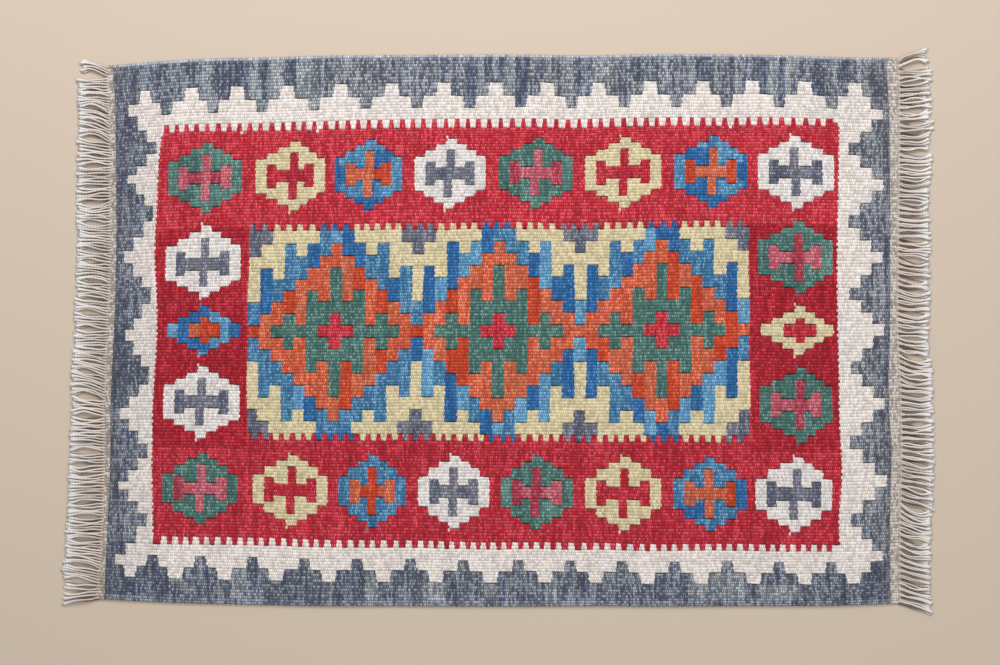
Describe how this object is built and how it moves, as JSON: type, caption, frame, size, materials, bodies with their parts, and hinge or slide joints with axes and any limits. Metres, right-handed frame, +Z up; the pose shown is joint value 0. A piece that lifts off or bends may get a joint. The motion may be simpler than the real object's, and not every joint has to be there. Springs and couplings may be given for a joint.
{
  "type": "kilim rug",
  "caption": "Small flat-woven kilim rug, lying flat, with a stepped diamond field, rows of medallions, a crenellated border and a short warp fringe at each end.",
  "frame": {"origin": "Middle of the flat underside of the cloth, on the surface it lies on.", "axes": "+X runs along the rug from one fringe to the other, +Y runs across it, +Z is up through the cloth."},
  "size_m": [1.001, 0.6476, 0.003],
  "materials": {
    "wool": "weft-faced flat weave of dyed wool, dry and slightly hairy, with streaks of uneven dye",
    "cotton": "undyed twisted cotton yarn, matt, with fuzzy cut ends"
  },
  "bodies": {
    "root": {"cloth": "wool", "fringe_left": "cotton", "fringe_right": "cotton"}
  },
  "joints": []
}
